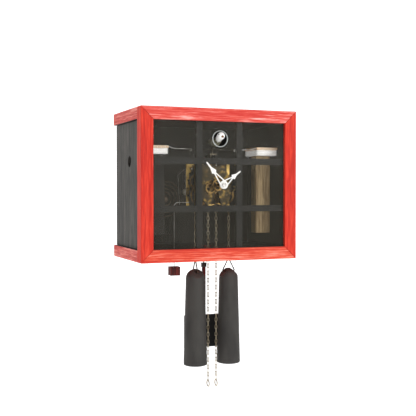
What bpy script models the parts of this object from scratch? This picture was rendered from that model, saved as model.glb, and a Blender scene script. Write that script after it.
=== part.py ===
"""Cuckoo clock in a square picture-frame case.

Sizes are in millimetres and become metres where a mesh is made.  The origin is the
centre of the case's back face: +X to the right seen from the front, the front towards
-Y, +Z up.  "Plan" outlines lie in the X-Z plane and are given a thickness along Y.
"""
import math

import bmesh
import bpy
from mathutils import Matrix, Vector

MM = 0.001

# ---------------------------------------------------------------- driving dimensions
CASE_WIDTH = 264.0
CASE_HEIGHT = 240.0
CASE_DEPTH = 159.0
TOUCH = 0.3                 # gap left where two pieces touch
RUNNING = 0.25              # radial gap of a pivot in its hole
EASE = 0.6                  # softened edge of the woodwork
WELD = 3e-5                 # metres, under a tenth of any gap

FRAME_BAR = 20.0            # face width of the picture-frame battens
FRAME_DEPTH = 20.0
BOARD_THICK = 19.0
SIDE_THICK = 12.0
SIDE_INSET = 5.0
BACK_THICK = 5.0
KEYHOLE_DEPTH = 3.6         # blind, cut from the back
SOUND_HOLE_RADIUS = 9.0
SOUND_HOLE_BACK = 80.0      # behind the front face
SOUND_HOLE_Z = 38.0

GLASS_THICK = 3.0
GLASS_RECESS = 4.0          # frame face to glass
GLASS_BITE = 4.0            # glass held in the battens' groove
BIRD_HOLE_RADIUS = 12.5
BIRD_HOLE_Z = 72.7
ARBOR_HOLE_RADIUS = 4.5

MUNTIN_WIDTH = 10.0
MUNTIN_DEPTH = 6.0
MUNTIN_X = 34.2
MUNTIN_Z = 37.5

PLATE_THICK = 1.5
PLATE_HALF_WIDTH = 38.0
PLATE_TOP = 41.0
PLATE_BOTTOM = -41.0
PLATE_STANDOFF = 7.2        # muntins to front plate
PLATE_GAP = 35.5            # clear space between the plates
PILLAR_RADIUS = 2.0
ARBOR_RADIUS = 1.0
PIVOT_RADIUS = 0.7

SPROCKET_PITCH = 11.0       # chain line to sprocket centre
SPROCKET_X = 18.0
SPROCKET_Z = -16.0
CHAIN_WIDTH = 4.2
CHAIN_PLANE = -119.0
FREE_CHAIN_END = -316.0
CHAIN_HOLE_RADIUS = 5.5
RING_RADIUS = 5.0
RING_WIRE = 0.8

MESH_PLAY = 0.12            # centre distance added to meshed wheels
GREAT_TEETH, GREAT_LEAVES, GREAT_MODULE = 36, 9, 0.97
TRAIN_TEETH, TRAIN_LEAVES, TRAIN_MODULE = 32, 8, 0.87
FINE_TEETH, FINE_LEAVES, FINE_MODULE = 28, 7, 0.73
CANNON_LEAVES, MINUTE_TEETH, CANNON_MODULE = 8, 24, 0.75
MINUTE_LEAVES, HOUR_TEETH = 8, 32
TOOTH_ABOVE, TOOTH_BELOW = 0.8, 1.2     # in modules
TOOTH_HALF = 0.26           # half a tooth at its root, as a share of the spacing
MOST_LEAVES = 12            # fewer teeth than this make a pinion
ESCAPE_TEETH = 20
ESCAPE_RADIUS = 7.5
ANCHOR_Z = 31.0
WHEEL_THICK = 1.2
TIME_GREAT_PLANE, INTERMEDIATE_PLANE = -126.2, -130.6
CENTRE_PLANE, THIRD_PLANE, ESCAPE_PLANE = -134.2, -112.6, -106.0
STRIKE_GREAT_PLANE, PIN_PLANE, WARNING_PLANE = -112.0, -108.0, -104.2

MINUTE_HAND_LENGTH = 45.8
HOUR_HAND_LENGTH = 36.2
MINUTE_HAND_ANGLE = 40.0    # degrees left of upright
HOUR_HAND_ANGLE = -53.5
HAND_THICK = 0.8
HAND_SPREAD = 62.0          # degrees from the arm's line to where its struts leave the hub
HAND_STANDOFF = 11.0        # frame face to minute hand

BELLOWS_INNER = 76.4
BELLOWS_FRONT = -126.5
BELLOWS_LENGTH = 50.0
BELLOWS_BASE = 48.9
BELLOWS_CLOTH = 9.1
BELLOWS_LID = 3.9
WHISTLE_INNER = 79.6
WHISTLE_WIDTH = 26.0
WHISTLE_FRONT = -116.0
WHISTLE_DEPTH = 18.0
WHISTLE_LENGTH = 127.9
WHISTLE_WALL = 3.4

BIRD_FRONT = -156.0
PENDULUM_PLANE = -82.0
PENDULUM_AXIS_Z = 36.5
LEADER_DROP = 16.0          # drops are counted from the underside of the case
ROD_DROP = 178.0
ROD_WIDTH = 6.0
ROD_THICK = 3.0
BOB_WIDTH = 72.0
BOB_HEIGHT = 54.0
BOB_THICK = 4.0
BOB_DROP = 95.0
WEIGHT_DROP = 15.0
WEIGHT_LENGTH = 155.0
WEIGHT_TOP_RADIUS = 15.4
WEIGHT_BASE_RADIUS = 19.0
HOOK_WIRE = 1.0
HOOK_DROP = 1.6
GONG_RADIUS = 31.0
GONG_PLANE = -75.0
GONG_X, GONG_Z = -66.0, -24.0
HAMMER_X, HAMMER_Z = -29.0, 26.4
HAMMER_BALL_Z = -11.0
HAMMER_ARBOR = 1.2
HAMMER_BALL_RADIUS = 6.0
SHUTOFF_X = -65.0
SHUTOFF_CUBE_DROP = 10.0
SHUTOFF_CUBE = (16.0, 14.0, 14.0)

# ------------------------------------------------------- places that follow from them
HALF_W = CASE_WIDTH / 2
HALF_H = CASE_HEIGHT / 2
LEADER_END = -HALF_H - LEADER_DROP
ROD_END = -HALF_H - ROD_DROP
BOB_TOP = -HALF_H - BOB_DROP
WEIGHT_TOP = -HALF_H - WEIGHT_DROP
HOOK_TOP = -HALF_H - HOOK_DROP
SHUTOFF_CUBE_TOP = -HALF_H - SHUTOFF_CUBE_DROP
FRONT = -CASE_DEPTH
FRAME_BACK = FRONT + FRAME_DEPTH
OPEN_X = HALF_W - FRAME_BAR
OPEN_Z = HALF_H - FRAME_BAR
SIDE_OUTER = HALF_W - SIDE_INSET
SIDE_INNER = SIDE_OUTER - SIDE_THICK
BOARD_INNER = HALF_H - BOARD_THICK
GLASS_FRONT = FRONT + GLASS_RECESS
GLASS_BACK = GLASS_FRONT + GLASS_THICK
MUNTIN_FRONT = GLASS_BACK + TOUCH
MUNTIN_BACK = MUNTIN_FRONT + MUNTIN_DEPTH
PLATE_FRONT = MUNTIN_BACK + PLATE_STANDOFF
TRAIN_FRONT = PLATE_FRONT + PLATE_THICK
REAR_PLATE = TRAIN_FRONT + PLATE_GAP
REAR_FACE = REAR_PLATE + PLATE_THICK
CHAIN_OUT = SPROCKET_X + SPROCKET_PITCH
CHAIN_IN = SPROCKET_X - SPROCKET_PITCH
MINUTE_HAND_Y = FRONT - HAND_STANDOFF
HOUR_HAND_Y = MINUTE_HAND_Y + 3.0


def on_circle(centre, distance, degrees):
    """The point at a distance and a direction from a centre, in plan."""
    turn = math.radians(degrees)
    return (centre[0] + distance * math.cos(turn), centre[1] + distance * math.sin(turn))


def meet(first, first_distance, second, second_distance):
    """The point at given distances from two centres, on the left of first to second."""
    dx, dz = second[0] - first[0], second[1] - first[1]
    span = math.hypot(dx, dz)
    along = (first_distance ** 2 - second_distance ** 2 + span ** 2) / (2 * span)
    aside = math.sqrt(first_distance ** 2 - along ** 2)
    ux, uz = dx / span, dz / span
    return (first[0] + along * ux - aside * uz, first[1] + along * uz + aside * ux)


def depth_between(module, teeth, leaves):
    """Centre distance of a wheel and its pinion."""
    return module * (teeth + leaves) / 2 + MESH_PLAY


GREAT_DISTANCE = depth_between(GREAT_MODULE, GREAT_TEETH, GREAT_LEAVES)
TRAIN_DISTANCE = depth_between(TRAIN_MODULE, TRAIN_TEETH, TRAIN_LEAVES)
FINE_DISTANCE = depth_between(FINE_MODULE, FINE_TEETH, FINE_LEAVES)
MOTION_DISTANCE = depth_between(CANNON_MODULE, MINUTE_TEETH, CANNON_LEAVES)
HOUR_MODULE = 2 * (MOTION_DISTANCE - MESH_PLAY) / (MINUTE_LEAVES + HOUR_TEETH)

CENTRE = (0.0, 0.0)
TIME_GREAT = (SPROCKET_X, SPROCKET_Z)
STRIKE_GREAT = (-SPROCKET_X, SPROCKET_Z)
INTERMEDIATE = meet(CENTRE, TRAIN_DISTANCE, TIME_GREAT, GREAT_DISTANCE)
THIRD = on_circle(CENTRE, TRAIN_DISTANCE, 95.0)
ESCAPE = on_circle(THIRD, FINE_DISTANCE, 23.0)
ANCHOR = (0.0, ANCHOR_Z)
PIN = on_circle(STRIKE_GREAT, GREAT_DISTANCE, 98.0)
WARNING = on_circle(PIN, TRAIN_DISTANCE, 74.6)
FLY = on_circle(WARNING, FINE_DISTANCE, 50.6)
MINUTE = on_circle(CENTRE, MOTION_DISTANCE, 205.0)


# ------------------------------------------------------------------- scene and helpers
for old in list(bpy.data.objects):
    bpy.data.objects.remove(old, do_unlink=True)

clock = bpy.data.collections.new("cuckoo_clock")
cutters = bpy.data.collections.new("cutters")
bpy.context.scene.collection.children.link(clock)
bpy.context.scene.collection.children.link(cutters)


def make_material(name, colour, roughness, metallic=0.0, alpha=1.0):
    """A Principled material in one finish."""
    made = bpy.data.materials.new(name)
    made.use_nodes = True
    shader = made.node_tree.nodes["Principled BSDF"]
    shader.inputs["Base Color"].default_value = (*colour, 1.0)
    shader.inputs["Roughness"].default_value = roughness
    shader.inputs["Metallic"].default_value = metallic
    shader.inputs["Alpha"].default_value = alpha
    return made


RED_WOOD = make_material("red_wood", (0.62, 0.05, 0.035), 0.55)
BLACK_WOOD = make_material("black_wood", (0.02, 0.02, 0.02), 0.6)
NATURAL_WOOD = make_material("natural_wood", (0.55, 0.38, 0.22), 0.6)
GLASS = make_material("clear_glass", (0.8, 0.85, 0.85), 0.05, alpha=0.3)
WHITE_PAINT = make_material("white_paint", (0.85, 0.85, 0.83), 0.45)
WHITE_CLOTH = make_material("white_cloth", (0.85, 0.85, 0.82), 0.8)
BRASS = make_material("brass", (0.78, 0.6, 0.28), 0.3, 1.0)
STEEL = make_material("steel", (0.6, 0.6, 0.6), 0.3, 1.0)
CHARCOAL = make_material("charcoal_paint", (0.035, 0.037, 0.04), 0.7)
BLACK_METAL = make_material("black_metal", (0.015, 0.015, 0.015), 0.5, 0.3)


def place(mesh, name, material):
    """Link a mesh as a named piece of the clock, or as a cutter when it has no material."""
    piece = bpy.data.objects.new(name, mesh)
    if material is None:
        cutters.objects.link(piece)
        piece.hide_render = True
        piece.display_type = "WIRE"
    else:
        mesh.materials.clear()
        mesh.materials.append(material)
        clock.objects.link(piece)
    return piece


def finish_mesh(shape, name):
    """Turn a bmesh into mesh data in metres."""
    bmesh.ops.scale(shape, vec=Vector((MM, MM, MM)), verts=shape.verts)
    mesh = bpy.data.meshes.new(name)
    shape.to_mesh(mesh)
    shape.free()
    return mesh


def box(name, low, high, material=None, ease=0.0):
    """A block between two corners."""
    shape = bmesh.new()
    bmesh.ops.create_cube(shape, size=1.0)
    size = [high[i] - low[i] for i in range(3)]
    middle = [(high[i] + low[i]) / 2 for i in range(3)]
    bmesh.ops.scale(shape, vec=Vector(size), verts=shape.verts)
    bmesh.ops.translate(shape, vec=Vector(middle), verts=shape.verts)
    piece = place(finish_mesh(shape, name), name, material)
    if ease:
        soften(piece, ease)
    return piece


def soften(piece, width, segments=2):
    """Ease the sharp edges of a piece."""
    bevel = piece.modifiers.new("ease", "BEVEL")
    bevel.width = width * MM
    bevel.segments = segments
    bevel.limit_method = "ANGLE"
    bevel.angle_limit = math.radians(30)


def cylinder(name, radius, start, end, material=None, sides=16, end_radius=None):
    """A round bar or cone between two points."""
    shape = bmesh.new()
    start, end = Vector(start), Vector(end)
    way = end - start
    bmesh.ops.create_cone(
        shape, cap_ends=True, segments=sides, radius1=radius,
        radius2=radius if end_radius is None else end_radius, depth=way.length)
    turn = way.to_track_quat("Z", "Y").to_matrix().to_4x4()
    bmesh.ops.transform(shape, matrix=Matrix.Translation((start + end) / 2) @ turn,
                        verts=shape.verts)
    piece = place(finish_mesh(shape, name), name, material)
    smooth(piece)
    return piece


def ball(name, centre, radii, material=None, rings=8, sides=12):
    """An ellipsoid with its poles along Y."""
    shape = bmesh.new()
    bmesh.ops.create_uvsphere(shape, u_segments=sides, v_segments=rings, radius=1.0)
    bmesh.ops.rotate(shape, matrix=Matrix.Rotation(math.pi / 2, 3, "X"), verts=shape.verts)
    bmesh.ops.scale(shape, vec=Vector(radii), verts=shape.verts)
    bmesh.ops.translate(shape, vec=Vector(centre), verts=shape.verts)
    piece = place(finish_mesh(shape, name), name, material)
    smooth(piece)
    return piece


def smooth(piece):
    """Shade round faces smooth and keep the edges crisp."""
    piece.data.shade_smooth()
    piece.data.set_sharp_from_angle(angle=math.radians(35))


def mesh_from_curve(curve, name, material):
    """Replace a curve by its mesh, with the caps welded on."""
    holder = bpy.data.objects.new(name + "_curve", curve)
    bpy.context.scene.collection.objects.link(holder)
    bpy.context.view_layer.update()
    seen = holder.evaluated_get(bpy.context.evaluated_depsgraph_get())
    mesh = bpy.data.meshes.new_from_object(seen)
    matrix = holder.matrix_world.copy()
    bpy.data.objects.remove(holder, do_unlink=True)
    shape = bmesh.new()
    shape.from_mesh(mesh)
    bmesh.ops.remove_doubles(shape, verts=shape.verts, dist=1e-6)
    bmesh.ops.recalc_face_normals(shape, faces=shape.faces)
    shape.to_mesh(mesh)
    shape.free()
    piece = place(mesh, name, material)
    piece.matrix_world = matrix
    return piece


def plate(name, outlines, y_low, y_high, material=None):
    """A flat piece from closed plan outlines; inner outlines are holes."""
    curve = bpy.data.curves.new(name, "CURVE")
    curve.dimensions = "2D"
    curve.fill_mode = "BOTH"
    curve.extrude = (y_high - y_low) / 2 * MM
    for outline in outlines:
        spline = curve.splines.new("POLY")
        spline.points.add(len(outline) - 1)
        for point, (x, z) in zip(spline.points, outline):
            point.co = (x * MM, z * MM, 0.0, 1.0)
        spline.use_cyclic_u = True
    piece = mesh_from_curve(curve, name, material)
    upright = Matrix.Rotation(math.pi / 2, 4, "X")
    middle = Matrix.Translation((0.0, (y_low + y_high) / 2 * MM, 0.0))
    piece.data.transform(middle @ upright)
    return piece


def wire(name, points, radius, material=None, closed=False, detail=2):
    """A round wire through points."""
    curve = bpy.data.curves.new(name, "CURVE")
    curve.dimensions = "3D"
    curve.bevel_depth = radius * MM
    curve.bevel_resolution = detail
    curve.use_fill_caps = not closed
    spline = curve.splines.new("POLY")
    spline.points.add(len(points) - 1)
    for point, place_at in zip(spline.points, points):
        point.co = (*(value * MM for value in place_at), 1.0)
    spline.use_cyclic_u = closed
    piece = mesh_from_curve(curve, name, material)
    smooth(piece)
    return piece


def turned(name, profile, centre, material=None, sides=20):
    """A turned piece about an axis along Y: profile is (radius, y) from front to back."""
    shape = bmesh.new()
    points = [(0.0, profile[0][1]), *profile, (0.0, profile[-1][1])]
    corners = [shape.verts.new((radius * MM, 0.0, -y * MM)) for radius, y in points]
    for first, second in zip(corners, corners[1:]):
        shape.edges.new((first, second))
    mesh = bpy.data.meshes.new(name)
    shape.to_mesh(mesh)
    shape.free()
    piece = place(mesh, name, material)
    screw = piece.modifiers.new("turn", "SCREW")
    screw.steps = sides
    screw.render_steps = sides
    screw.use_merge_vertices = True
    screw.merge_threshold = 1e-6
    piece.location = (centre[0] * MM, 0.0, centre[1] * MM)
    piece.rotation_euler = (math.pi / 2, 0.0, 0.0)
    return piece


def combine(target, operation, *tools):
    """Join tools to a piece, or cut them from it."""
    for tool in tools:
        change = target.modifiers.new(operation.lower(), "BOOLEAN")
        change.operation = operation
        change.solver = "EXACT"
        change.object = tool


def fuse(target, *tools):
    """Make a piece and its tools one solid."""
    combine(target, "UNION", *tools)


def carve(target, *tools):
    """Cut tools out of a piece."""
    combine(target, "DIFFERENCE", *tools)


def weld_seams():
    """Close up the hair-thin edges that a Boolean leaves where surfaces cross."""
    for piece in clock.objects:
        if any(change.type == "BOOLEAN" for change in piece.modifiers):
            weld = piece.modifiers.new("weld", "WELD")
            weld.merge_threshold = WELD


def arc(centre, radius, start, end, steps):
    """Points on an arc, in plan."""
    return [on_circle(centre, radius, start + (end - start) * k / steps)
            for k in range(steps + 1)]


def disc(centre, radius, sides=8):
    """A closed round outline, in plan."""
    return arc(centre, radius, 0, 360 - 360 / sides, sides - 1)


# --------------------------------------------------------------------------- gearing
def tooth_outline(centre, teeth, module, phase):
    """A wheel's outline; phase is the direction of one tooth, in degrees.

    Wheel teeth come to a point and pinion leaves have a flat tip.
    """
    pitch = teeth * module / 2
    tip, root = pitch + TOOTH_ABOVE * module, pitch - TOOTH_BELOW * module
    step = 360 / teeth
    tips = (0.0,) if teeth > MOST_LEAVES else (-0.1, 0.1)
    outline = []
    for k in range(teeth):
        middle = phase + k * step
        outline.append(on_circle(centre, root, middle - TOOTH_HALF * step))
        outline += [on_circle(centre, tip, middle + aside * step) for aside in tips]
        outline.append(on_circle(centre, root, middle + TOOTH_HALF * step))
    return outline


def meshed_phase(centre, teeth, phase, other, other_teeth):
    """Direction of a tooth of the other wheel that meshes with this one."""
    way = math.degrees(math.atan2(other[1] - centre[1], other[0] - centre[0]))
    return way + 180 + 180 / other_teeth + (way - phase) * teeth / other_teeth


def windows(centre, inner, outer, count, rib, first=0.0):
    """Openings between a wheel's arms."""
    holes = []
    for k in range(count):
        start, end = first + 360 * k / count, first + 360 * (k + 1) / count
        out_margin = math.degrees(rib / 2 / outer)
        in_margin = math.degrees(rib / 2 / inner)
        holes.append(arc(centre, outer, start + out_margin, end - out_margin, 3)
                     + arc(centre, inner, end - in_margin, start + in_margin, 1))
    return holes


def arbor(name, centre, steps, material=None, front=None, back=None):
    """A turned arbor with its pivots in both plates; steps are (radius, y, y) collars."""
    front = PLATE_FRONT + TOUCH if front is None else front
    back = REAR_FACE - TOUCH if back is None else back
    shoulder_front, shoulder_back = TRAIN_FRONT + TOUCH, REAR_PLATE - TOUCH
    profile = [(PIVOT_RADIUS, front), (PIVOT_RADIUS, shoulder_front),
               (ARBOR_RADIUS, shoulder_front)]
    reached = front
    for radius, start, end in sorted(steps, key=lambda collar: collar[1]):
        if start > reached:
            profile += [(ARBOR_RADIUS, reached)] if reached > front else []
            profile += [(ARBOR_RADIUS, start)]
        profile += [(radius, start), (radius, end)]
        reached = end
    profile += [(ARBOR_RADIUS, reached), (ARBOR_RADIUS, shoulder_back),
                (PIVOT_RADIUS, shoulder_back), (PIVOT_RADIUS, back)]
    return turned(name, profile, centre, material, sides=8)


def wheel_plate(name, centre, teeth, module, phase, y, thick=WHEEL_THICK, arms=4):
    """A crossed-out toothed wheel."""
    root = teeth * module / 2 - TOOTH_BELOW * module
    outlines = [tooth_outline(centre, teeth, module, phase)]
    outlines += windows(centre, 3.4, root - 1.6, arms, 1.6, phase)
    return plate(name, outlines, y - thick / 2, y + thick / 2)


def leaves(name, centre, teeth, module, phase, y_low, y_high):
    """A solid pinion."""
    return plate(name, [tooth_outline(centre, teeth, module, phase)], y_low, y_high)


def train_wheel(name, centre, wheel, pinion, arms=4):
    """An arbor with its wheel and its pinion, as one solid.

    wheel is (teeth, module, phase, y); pinion is (leaves, module, phase, y, y).
    """
    teeth, module, phase, y = wheel
    piece = arbor(name, centre, [(2.4, y - 1.2, y + 1.2)], BRASS)
    fuse(piece, wheel_plate(name + "_rim", centre, teeth, module, phase, y, arms=arms))
    if pinion:
        count, leaf_module, leaf_phase, start, end = pinion
        fuse(piece, leaves(name + "_leaves", centre, count, leaf_module, leaf_phase,
                           start, end))
    return piece


# ----------------------------------------------------------------------------- case
def build_boards():
    """Top and bottom boards; the bottom one lets the chains, pendulum and wire through."""
    front = FRAME_BACK + TOUCH
    box("top_board", (-HALF_W, front, BOARD_INNER), (HALF_W, 0.0, HALF_H), RED_WOOD, EASE)
    board = box("bottom_board", (-HALF_W, front, -HALF_H), (HALF_W, 0.0, -BOARD_INNER),
                RED_WOOD, EASE)
    over, under = 1.0 - BOARD_INNER, -HALF_H - 1.0
    for x in (-CHAIN_OUT, -CHAIN_IN, CHAIN_IN, CHAIN_OUT):
        carve(board, cylinder("chain_way", CHAIN_HOLE_RADIUS, (x, CHAIN_PLANE, under),
                              (x, CHAIN_PLANE, over)))
    slot_half = 14.0
    carve(board, box("pendulum_way", (-slot_half, PENDULUM_PLANE - 5.0, under),
                     (slot_half, PENDULUM_PLANE + 5.0, over)))
    carve(board, cylinder("shutoff_way", 2.5, (SHUTOFF_X, CHAIN_PLANE, under),
                          (SHUTOFF_X, CHAIN_PLANE, over), sides=12))


def build_sides():
    """Side panels with their sound holes, and the back panel with its keyhole."""
    hole_y = FRONT + SOUND_HOLE_BACK
    for side, sign in (("left", -1), ("right", 1)):
        xs = sorted((sign * SIDE_INNER, sign * SIDE_OUTER))
        panel = box(side + "_side_panel", (xs[0], FRAME_BACK + TOUCH, TOUCH - BOARD_INNER),
                    (xs[1], 0.0, BOARD_INNER - TOUCH), BLACK_WOOD, EASE)
        carve(panel, cylinder(side + "_sound_hole", SOUND_HOLE_RADIUS,
                              (xs[0] - 1, hole_y, SOUND_HOLE_Z),
                              (xs[1] + 1, hole_y, SOUND_HOLE_Z), sides=32))
    half_x, half_z = SIDE_INNER - TOUCH, BOARD_INNER - TOUCH
    key_z, key_radius, slot_radius, slot_rise = 75.0, 5.5, 2.5, 9.0
    lean = math.degrees(math.asin(slot_radius / key_radius))
    keyhole = (arc((0.0, key_z), key_radius, 90 + lean, 450 - lean, 20)
               + arc((0.0, key_z + slot_rise), slot_radius, 0, 180, 8))
    outline = [(-half_x, -half_z), (half_x, -half_z), (half_x, half_z), (-half_x, half_z)]
    panel = plate("back_panel", [outline], -BACK_THICK, 0.0, BLACK_WOOD)
    carve(panel, plate("keyhole", [keyhole], -KEYHOLE_DEPTH, 1.0))


def build_frame():
    """Four mitred battens with a groove for the glass."""
    off = TOUCH / 2 * math.sqrt(2)
    rail = [(off - HALF_W, HALF_H), (HALF_W - off, HALF_H),
            (OPEN_X - off, OPEN_Z), (off - OPEN_X, OPEN_Z)]
    stile = [(HALF_W, off - HALF_H), (HALF_W, HALF_H - off),
             (OPEN_X, OPEN_Z - off), (OPEN_X, off - OPEN_Z)]
    groove = box("glass_groove",
                 (-OPEN_X - GLASS_BITE - TOUCH, GLASS_FRONT - TOUCH, -OPEN_Z - GLASS_BITE - TOUCH),
                 (OPEN_X + GLASS_BITE + TOUCH, GLASS_BACK + TOUCH, OPEN_Z + GLASS_BITE + TOUCH))
    bars = (("frame_top_rail", rail), ("frame_bottom_rail", [(x, -z) for x, z in rail]),
            ("frame_right_stile", stile), ("frame_left_stile", [(-x, z) for x, z in stile]))
    for name, outline in bars:
        bar = plate(name, [outline], FRONT, FRAME_BACK, RED_WOOD)
        soften(bar, EASE)
        carve(bar, groove)


def build_glazing():
    """The glass with its two holes, and the black bars halved into each other."""
    half_x, half_z = OPEN_X + GLASS_BITE, OPEN_Z + GLASS_BITE
    outline = [(-half_x, -half_z), (half_x, -half_z), (half_x, half_z), (-half_x, half_z)]
    plate("glass_panel", [outline, disc((0.0, BIRD_HOLE_Z), BIRD_HOLE_RADIUS, 40),
                          disc(CENTRE, ARBOR_HOLE_RADIUS, 20)], GLASS_FRONT, GLASS_BACK, GLASS)
    half = MUNTIN_WIDTH / 2
    middle = (MUNTIN_FRONT + MUNTIN_BACK) / 2
    notch = half + TOUCH
    end_x, end_z = OPEN_X - TOUCH, OPEN_Z - TOUCH
    for name, x in (("muntin_left", -MUNTIN_X), ("muntin_right", MUNTIN_X)):
        bar = box(name, (x - half, MUNTIN_FRONT, -end_z), (x + half, MUNTIN_BACK, end_z),
                  BLACK_WOOD)
        for z in (-MUNTIN_Z, MUNTIN_Z):
            carve(bar, box("halving", (x - half - 1, MUNTIN_FRONT - 1, z - notch),
                           (x + half + 1, middle + TOUCH / 2, z + notch)))
    for name, z in (("muntin_lower", -MUNTIN_Z), ("muntin_upper", MUNTIN_Z)):
        bar = box(name, (-end_x, MUNTIN_FRONT, z - half), (end_x, MUNTIN_BACK, z + half),
                  BLACK_WOOD)
        for x in (-MUNTIN_X, MUNTIN_X):
            carve(bar, box("halving", (x - notch, middle - TOUCH / 2, z - half - 1),
                           (x + notch, MUNTIN_BACK + 1, z + half + 1)))


# ------------------------------------------------------------------------- movement
def plate_outlines(holes, left_window_top):
    """Outline, windows and holes of a movement plate; holes are (place, radius)."""
    w, top, low = PLATE_HALF_WIDTH, PLATE_TOP, PLATE_BOTTOM
    rim = 5.0
    edge_x, edge_top, edge_low = w - rim, top - rim, low + rim
    lower_side = [(edge_x - 5.0, edge_low), (edge_x, edge_low + 5.0), (edge_x, -8.0),
                  (26.0, -12.0), (24.0, -24.0), (14.0, edge_low)]
    outlines = [
        [(-w, low), (w, low), (w, top), (-w, top)],
        lower_side,
        [(-x, z) for x, z in lower_side],
        [(-9.0, edge_low), (9.0, edge_low), (3.0, -11.0), (-3.0, -11.0)],
        [(5.0, -6.0), (13.0, -7.5), (11.0, 3.0), (5.4, 11.4)],
        [(-5.0, -6.0), (-13.0, -7.5), (-15.0, 3.0), (-6.0, 11.0)],
        [(22.5, -1.0), (edge_x, -1.5), (edge_x, edge_top - 5.0), (edge_x - 5.0, edge_top),
         (17.0, edge_top), (16.6, 24.7), (22.0, 12.0)],
        [(-edge_x, 0.0), (-27.0, 0.0), (-26.0, 13.0), (-24.0, left_window_top),
         (-edge_x, left_window_top)],
    ]
    return outlines + [disc(place_at, radius + RUNNING) for place_at, radius in holes]


def build_plates():
    """Front and rear brass plates; the pillars are riveted into the rear one."""
    train = [CENTRE, TIME_GREAT, STRIKE_GREAT, INTERMEDIATE, THIRD, ESCAPE, PIN, WARNING,
             FLY]
    pivots = [(place_at, PIVOT_RADIUS) for place_at in train]
    corners = [(x, z) for x in (-MUNTIN_X, MUNTIN_X) for z in (-MUNTIN_Z, MUNTIN_Z)]
    front_holes = pivots + [(ANCHOR, PIVOT_RADIUS)] + [(c, PILLAR_RADIUS) for c in corners]
    plate("movement_front_plate", plate_outlines(front_holes, 30.3), PLATE_FRONT,
          TRAIN_FRONT, BRASS)
    rear_holes = pivots + [(ANCHOR, ARBOR_RADIUS), ((HAMMER_X, HAMMER_Z), HAMMER_ARBOR)]
    rear = plate("movement_rear_plate", plate_outlines(rear_holes, 18.0), REAR_PLATE,
                 REAR_FACE, BRASS)
    for x, z in corners:
        fuse(rear, cylinder("pillar", PILLAR_RADIUS, (x, MUNTIN_BACK + TOUCH, z),
                            (x, REAR_FACE + 1.0, z), sides=8))
    fuse(rear, cylinder("suspension_stud", 1.0, (0.0, REAR_PLATE + 0.4, PENDULUM_AXIS_Z),
                        (0.0, PENDULUM_PLANE + 3.0, PENDULUM_AXIS_Z), sides=12))


def build_time_train():
    """Great wheel to escape wheel, each meshed with the next."""
    great_y, intermediate_y, centre_y = TIME_GREAT_PLANE, INTERMEDIATE_PLANE, CENTRE_PLANE
    third_y, escape_y = THIRD_PLANE, ESCAPE_PLANE
    great_phase = 0.0
    phase_1 = meshed_phase(TIME_GREAT, GREAT_TEETH, great_phase, INTERMEDIATE, GREAT_LEAVES)
    phase_2 = meshed_phase(INTERMEDIATE, TRAIN_TEETH, phase_1, CENTRE, TRAIN_LEAVES)
    phase_3 = meshed_phase(CENTRE, TRAIN_TEETH, phase_2, THIRD, TRAIN_LEAVES)
    phase_4 = meshed_phase(THIRD, FINE_TEETH, phase_3, ESCAPE, FINE_LEAVES)
    build_great_wheel("time_great_wheel", TIME_GREAT, great_phase, great_y)
    train_wheel("intermediate_wheel", INTERMEDIATE,
                (TRAIN_TEETH, TRAIN_MODULE, phase_1, intermediate_y),
                (GREAT_LEAVES, GREAT_MODULE, phase_1, great_y - 2.0, great_y + 2.0))
    train_wheel("centre_wheel", CENTRE, (TRAIN_TEETH, TRAIN_MODULE, phase_2, centre_y),
                (TRAIN_LEAVES, TRAIN_MODULE, phase_2, intermediate_y - 1.8,
                 intermediate_y + 1.8))
    train_wheel("third_wheel", THIRD, (FINE_TEETH, FINE_MODULE, phase_3, third_y),
                (TRAIN_LEAVES, TRAIN_MODULE, phase_3, centre_y - 1.6, centre_y + 1.6))
    escape = arbor("escape_wheel", ESCAPE, [(2.2, escape_y - 1.2, escape_y + 1.2)], BRASS)
    step = 360 / ESCAPE_TEETH
    rim = []
    for k in range(ESCAPE_TEETH):
        tip = phase_4 + k * step
        rim += [on_circle(ESCAPE, ESCAPE_RADIUS, tip),
                on_circle(ESCAPE, ESCAPE_RADIUS - 1.6, tip + 0.35 * step),
                on_circle(ESCAPE, ESCAPE_RADIUS - 1.6, tip + 0.8 * step)]
    crossings = windows(ESCAPE, 2.9, ESCAPE_RADIUS - 2.6, 4, 1.2, phase_4)
    fuse(escape, plate("escape_rim", [rim] + crossings, escape_y - 0.6, escape_y + 0.6),
         leaves("escape_leaves", ESCAPE, FINE_LEAVES, FINE_MODULE, phase_4, third_y - 2.0,
                third_y + 2.0))


def build_great_wheel(name, centre, phase, wheel_y):
    """A chain sprocket and its great wheel on one arbor."""
    flange, core = SPROCKET_PITCH + 1.2, SPROCKET_PITCH - CHAIN_WIDTH / 2 - 0.4
    half = CHAIN_WIDTH / 2 + 0.6
    collars = [(flange, CHAIN_PLANE - half - 1.0, CHAIN_PLANE - half),
               (core, CHAIN_PLANE - half, CHAIN_PLANE + half),
               (flange, CHAIN_PLANE + half, CHAIN_PLANE + half + 1.0),
               (5.2, wheel_y - 1.3, wheel_y + 1.3)]
    piece = arbor(name, centre, collars, BRASS)
    fuse(piece, wheel_plate(name + "_rim", centre, GREAT_TEETH, GREAT_MODULE, phase,
                            wheel_y, 1.6, arms=5))


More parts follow.
